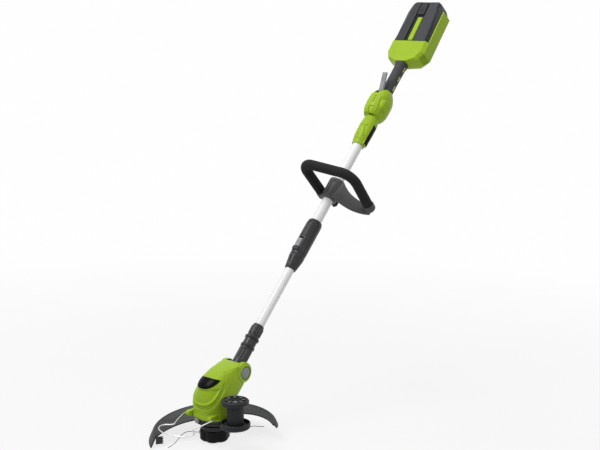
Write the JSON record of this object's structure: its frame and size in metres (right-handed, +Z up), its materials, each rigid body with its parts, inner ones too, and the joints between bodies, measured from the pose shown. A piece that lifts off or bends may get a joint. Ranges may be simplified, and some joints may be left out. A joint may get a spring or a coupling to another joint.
{
  "type": "string trimmer",
  "caption": "Battery string trimmer with a telescopic pole, looped front handle, pivoting motor head, crescent debris guard, edging wheel and slide-in battery.",
  "frame": {"origin": "centre of the flat foot of the feed knob under the line spool", "axes": "+Z up along the spool axis, -Y to the front of the head, the pole leans up and away along +Y, +X to the edging wheel's side"},
  "size_m": [0.287, 1.0813, 1.0446],
  "materials": {
    "lime_plastic": "satin moulded lime green plastic",
    "charcoal_plastic": "satin charcoal plastic",
    "guard_plastic": "satin dark grey plastic",
    "black_plastic": "matt black plastic",
    "grey_plastic": "satin light grey plastic",
    "white_tube": "satin white painted tube",
    "bright_steel": "bright turned steel",
    "dark_steel": "dark spring steel",
    "wire_steel": "bright wire",
    "foam": "closed cell foam",
    "soft_grip": "soft moulded grip",
    "plate_black": "gloss black plate, bare",
    "battery_plastic": "textured charcoal plastic",
    "cutting_line": "translucent grey green nylon",
    "lead_jacket": "black cable jacket",
    "cell_wrap": "shrink wrap",
    "contact_brass": "contact metal"
  },
  "bodies": {
    "handle": {"upper_tube": "white_tube", "shaft_clamp_left": "charcoal_plastic", "shaft_clamp_right": "charcoal_plastic", "control_housing_left": "lime_plastic", "control_housing_right": "lime_plastic", "side_cap": "lime_plastic", "label_strip": "plate_black", "lever_pin": "bright_steel", "trigger_pin": "bright_steel", "power_switch": "black_plastic", "grip_core": "charcoal_plastic", "grip_sleeve": "soft_grip", "battery_housing_rear": "lime_plastic", "battery_housing_front": "lime_plastic", "terminal_block": "contact_brass"},
    "shaft_slider": {"shaft_key": "black_plastic"},
    "lower_shaft": {"lower_tube": "white_tube", "pivot_sleeve": "charcoal_plastic", "power_lead": "lead_jacket"},
    "head": {"motor_housing": "lime_plastic", "motor_front_cover": "lime_plastic", "label_plate": "plate_black", "drive_motor": "bright_steel", "base_flange": "charcoal_plastic", "wheel_bracket": "charcoal_plastic", "debris_guard": "guard_plastic", "line_cutter": "dark_steel", "guard_screw_1": "bright_steel", "guard_screw_2": "bright_steel", "guard_screw_3": "bright_steel", "pivot_pin": "bright_steel", "wheel_axle": "bright_steel"},
    "rotor": {"motor_shaft": "bright_steel", "spool_base": "charcoal_plastic", "spool_cap": "black_plastic", "line_eyelet_left": "bright_steel", "line_eyelet_right": "bright_steel", "line_end_left": "cutting_line", "line_end_right": "cutting_line"},
    "feed": {"feed_knob": "black_plastic", "line_spool": "grey_plastic", "line_winding": "cutting_line", "feed_spring": "dark_steel"},
    "wheel": {"edge_wheel": "guard_plastic"},
    "wire_bow": {"wire_guard": "wire_steel"},
    "tilt_release": {"tilt_button": "grey_plastic"},
    "guard_lock": {"guard_knob": "grey_plastic"},
    "collar": {"twist_collar": "charcoal_plastic"},
    "turn_release": {"turn_button": "grey_plastic"},
    "front_handle": {"handle_bracket": "charcoal_plastic", "handle_clamp_cap": "charcoal_plastic", "handle_core": "bright_steel", "handle_grip": "foam"},
    "handle_lock": {"handle_knob": "black_plastic"},
    "lock_off": {"lock_off_lever": "grey_plastic"},
    "throttle": {"trigger": "black_plastic"},
    "battery": {"battery_case": "battery_plastic", "battery_rib": "lime_plastic", "cell_pack": "cell_wrap"},
    "battery_release": {"battery_latch": "battery_plastic"}
  },
  "joints": [
    {"name": "shaft_slide", "type": "slide", "parent": "handle", "child": "shaft_slider", "axis": [0, 0.6934, 0.7206], "range_m": [0, 0.15]},
    {"name": "edging_turn", "type": "hinge", "parent": "shaft_slider", "child": "lower_shaft", "pos_m": [0, 0.28092, 0.37617], "axis": [0, 0.6934, 0.7206], "range_deg": [0, 90]},
    {"name": "head_tilt", "type": "hinge", "parent": "lower_shaft", "child": "head", "pos_m": [0, 0.0729, 0.16], "axis": [1, 0, 0], "range_deg": [-15, 45]},
    {"name": "spool_spin", "type": "hinge", "parent": "head", "child": "rotor", "pos_m": [0, 0, 0.03], "axis": [0, 0, 1], "continuous": true},
    {"name": "feed_press", "type": "slide", "parent": "rotor", "child": "feed", "axis": [0, 0, 1], "range_m": [0, 0.0025], "stiffness_N_per_m": 900, "springref_m": -0.001, "deforming": ["feed_spring"]},
    {"name": "wheel_spin", "type": "hinge", "parent": "head", "child": "wheel", "pos_m": [0.0862, -0.0188, 0.09], "axis": [0, 0, 1], "continuous": true},
    {"name": "wire_fold", "type": "hinge", "parent": "head", "child": "wire_bow", "pos_m": [0, -0.052, 0.075], "axis": [1, 0, 0], "range_deg": [-95, 0]},
    {"name": "tilt_press", "type": "slide", "parent": "head", "child": "tilt_release", "axis": [1, 0, 0], "range_m": [-0.0025, 0], "stiffness_N_per_m": 600},
    {"name": "guard_knob_turn", "type": "hinge", "parent": "head", "child": "guard_lock", "pos_m": [-0.01268, -0.04422, 0.0602], "axis": [-0.2756, -0.9613, 0], "range_deg": [0, 90]},
    {"name": "collar_twist", "type": "hinge", "parent": "handle", "child": "collar", "pos_m": [0, 0.29826, 0.39418], "axis": [0, 0.6934, 0.7206], "range_deg": [0, 90]},
    {"name": "turn_press", "type": "slide", "parent": "handle", "child": "turn_release", "axis": [0, 0.7206, -0.6934], "range_m": [0, 0.002], "stiffness_N_per_m": 600},
    {"name": "handle_slide", "type": "slide", "parent": "handle", "child": "front_handle", "axis": [0, 0.6934, 0.7206], "range_m": [-0.06, 0.1]},
    {"name": "handle_knob_turn", "type": "hinge", "parent": "front_handle", "child": "handle_lock", "pos_m": [0, 0.45903, 0.52952], "axis": [0, -0.7206, 0.6934], "range_deg": [0, 360]},
    {"name": "lock_off_press", "type": "hinge", "parent": "handle", "child": "lock_off", "pos_m": [0, 0.66386, 0.80149], "axis": [1, 0, 0], "range_deg": [-17, 0], "stiffness_Nm_per_rad": 0.4, "springref_deg": 5.73},
    {"name": "trigger_pull", "type": "hinge", "parent": "handle", "child": "throttle", "pos_m": [0, 0.68194, 0.76188], "axis": [1, 0, 0], "range_deg": [0, 10], "stiffness_Nm_per_rad": 0.3, "springref_deg": -5.73},
    {"name": "battery_slide", "type": "slide", "parent": "handle", "child": "battery", "axis": [0, 0.6414, 0.7672], "range_m": [0, 0.115]},
    {"name": "latch_slide", "type": "slide", "parent": "battery", "child": "battery_release", "axis": [0, 0.6414, 0.7672], "range_m": [0, 0.004], "stiffness_N_per_m": 500, "springref_m": -0.001}
  ]
}
